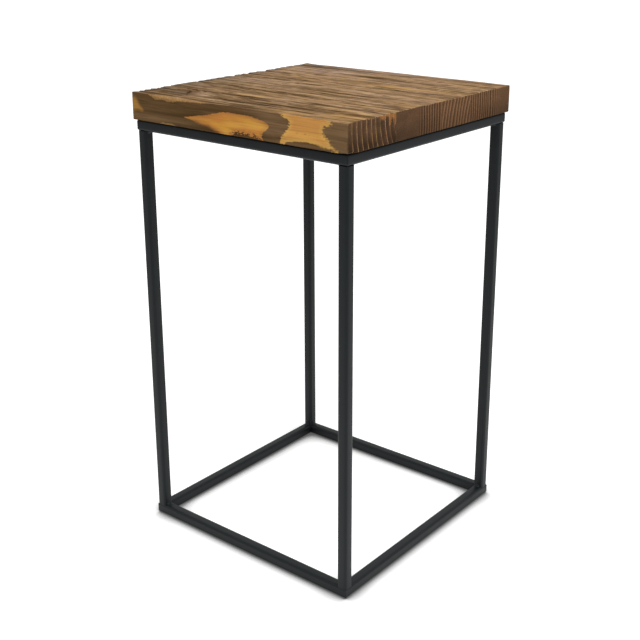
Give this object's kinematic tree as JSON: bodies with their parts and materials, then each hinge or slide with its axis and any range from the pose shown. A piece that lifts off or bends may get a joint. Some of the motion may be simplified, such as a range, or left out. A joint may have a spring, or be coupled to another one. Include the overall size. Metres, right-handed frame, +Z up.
{
  "type": "plant stand",
  "caption": "Square plant stand: thick rustic top of edge-joined stained boards on an open welded frame of black square tube, with rings under the top and on the floor and straight corner legs.",
  "frame": {"origin": "on the floor, under the middle of the top", "axes": "+Z up; the boards run along X; -Y is the front, the long-grain side that faces the viewer on the picture's left"},
  "size_m": [0.305, 0.305, 0.53],
  "materials": {
    "stained_pine": "brushed, stained and waxed, with worn arrises",
    "black_powder_coat": "satin, fine texture",
    "zinc_plate": "yellowed zinc"
  },
  "bodies": {
    "root": {"top_board_front": "stained_pine", "top_board_mid_front": "stained_pine", "top_board_mid_back": "stained_pine", "top_board_back": "stained_pine", "top_rail_front": "black_powder_coat", "top_rail_back": "black_powder_coat", "top_rail_left": "black_powder_coat", "top_rail_right": "black_powder_coat", "bottom_rail_front": "black_powder_coat", "bottom_rail_back": "black_powder_coat", "bottom_rail_left": "black_powder_coat", "bottom_rail_right": "black_powder_coat", "leg_front_left": "black_powder_coat", "leg_front_right": "black_powder_coat", "leg_back_left": "black_powder_coat", "leg_back_right": "black_powder_coat", "top_weld_beads": "black_powder_coat", "bottom_weld_beads": "black_powder_coat", "top_screws": "zinc_plate"}
  },
  "joints": []
}
